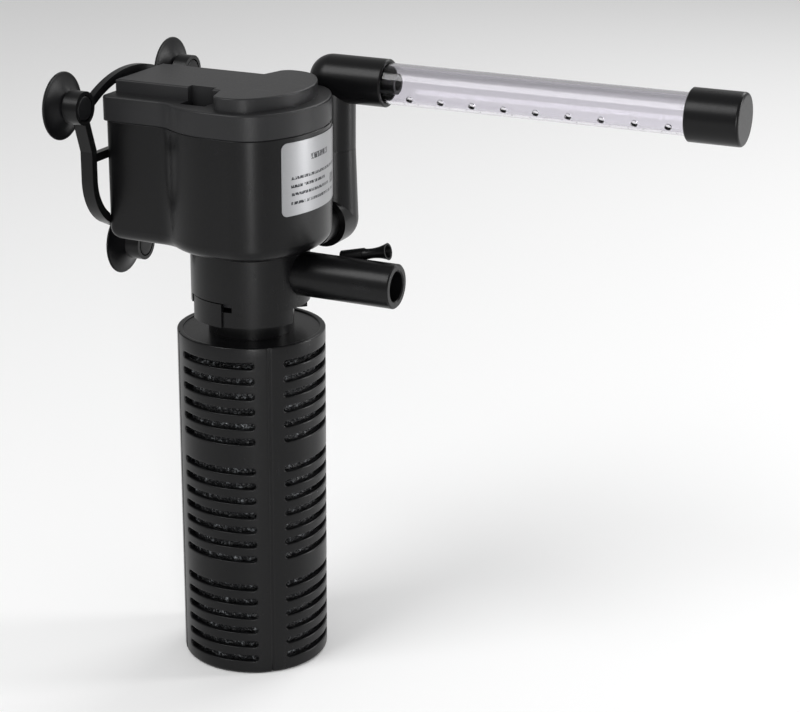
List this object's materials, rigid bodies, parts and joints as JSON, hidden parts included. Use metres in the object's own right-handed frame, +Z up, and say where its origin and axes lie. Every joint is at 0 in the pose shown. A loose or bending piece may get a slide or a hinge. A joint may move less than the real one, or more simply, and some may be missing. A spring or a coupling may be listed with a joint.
{
  "type": "internal aquarium power filter",
  "caption": "Submersible pump head on a slotted strainer canister, with outlet nozzle, swivelling clear spray bar and a bracket of suction cups.",
  "frame": {"origin": "centre of the strainer's flat base, where the filter stands", "axes": "+Z up the strainer's axis, +X along the outlet nozzle, suction cups face -X"},
  "size_m": [0.2472, 0.1082, 0.2475],
  "materials": {
    "black_abs": "satin black moulded plastic",
    "cover_abs": "satin black moulded plastic, a little worn",
    "cup_rubber": "soft black rubber",
    "seal_rubber": "soft black rubber",
    "clear_acrylic": "clear extruded tube",
    "sponge_foam": "open-cell blue-grey foam",
    "label_film": "printed silver film",
    "core_steel": "laminated core steel",
    "shaft_steel": "ground stainless shaft",
    "bobbin_nylon": "natural nylon",
    "winding_copper": "enamelled copper wire",
    "potting_resin": "poured epoxy",
    "magnet_ferrite": "sintered ferrite",
    "impeller_plastic": "white acetal",
    "bush_rubber": "bush rubber"
  },
  "bodies": {
    "pump": {"motor_housing": "black_abs", "top_cover": "cover_abs", "cord_gland": "seal_rubber", "potting_block": "potting_resin", "stator_core": "core_steel", "coil_bobbin": "bobbin_nylon", "coil_winding": "winding_copper", "outlet_collar": "black_abs", "suction_plate": "black_abs", "neck_seal": "seal_rubber", "lower_shaft_bush": "bush_rubber", "upper_shaft_bush": "bush_rubber", "impeller_shaft": "shaft_steel", "air_nipple": "black_abs", "rating_label": "label_film"},
    "rotor": {"rotor_magnet": "magnet_ferrite", "impeller": "impeller_plastic"},
    "strainer_head": {"strainer_cap": "black_abs"},
    "strainer": {"strainer_canister": "black_abs", "filter_sponge": "sponge_foam"},
    "riser_low": {"riser_lower_elbow": "black_abs"},
    "riser_up": {"riser_upper_elbow": "black_abs"},
    "tube": {"spray_tube": "clear_acrylic"},
    "end_cap": {"spray_end_cap": "black_abs"},
    "bracket": {"suction_bracket": "black_abs"},
    "cup_left": {"suction_cup_left": "cup_rubber"},
    "cup_right": {"suction_cup_right": "cup_rubber"},
    "cup_low": {"suction_cup_low": "cup_rubber"}
  },
  "joints": [
    {"name": "rotor_spin", "type": "hinge", "parent": "pump", "child": "rotor", "pos_m": [0, 0, 0.2], "axis": [0, 0, 1], "continuous": true},
    {"name": "strainer_twist", "type": "hinge", "parent": "pump", "child": "strainer_head", "pos_m": [0, 0, 0.15], "axis": [0, 0, 1], "range_deg": [0, 10]},
    {"name": "canister_pull", "type": "slide", "parent": "strainer_head", "child": "strainer", "axis": [0, 0, -1], "range_m": [0, 0.06]},
    {"name": "riser_tilt", "type": "hinge", "parent": "pump", "child": "riser_low", "pos_m": [0.0154, 0.036, 0.1785], "axis": [0, 1, 0], "range_deg": [-30, 60]},
    {"name": "bar_swing", "type": "hinge", "parent": "riser_low", "child": "riser_up", "pos_m": [0.0154, 0.0438, 0.204], "axis": [0, 0, 1], "range_deg": [-3, 120]},
    {"name": "tube_turn", "type": "hinge", "parent": "riser_up", "child": "tube", "pos_m": [0.034, 0.0438, 0.2368], "axis": [1, 0, 0], "continuous": true},
    {"name": "end_cap_pull", "type": "slide", "parent": "tube", "child": "end_cap", "axis": [1, 0, 0], "range_m": [0, 0.018]},
    {"name": "bracket_slide", "type": "slide", "parent": "pump", "child": "bracket", "axis": [0, 0, -1], "range_m": [0, 0.02]},
    {"name": "cup_left_turn", "type": "hinge", "parent": "bracket", "child": "cup_left", "pos_m": [-0.0596, -0.0407, 0.2342], "axis": [1, 0, 0], "continuous": true},
    {"name": "cup_right_turn", "type": "hinge", "parent": "bracket", "child": "cup_right", "pos_m": [-0.0596, 0.0407, 0.2342], "axis": [1, 0, 0], "continuous": true},
    {"name": "cup_low_turn", "type": "hinge", "parent": "bracket", "child": "cup_low", "pos_m": [-0.0596, 0, 0.17], "axis": [1, 0, 0], "continuous": true}
  ]
}
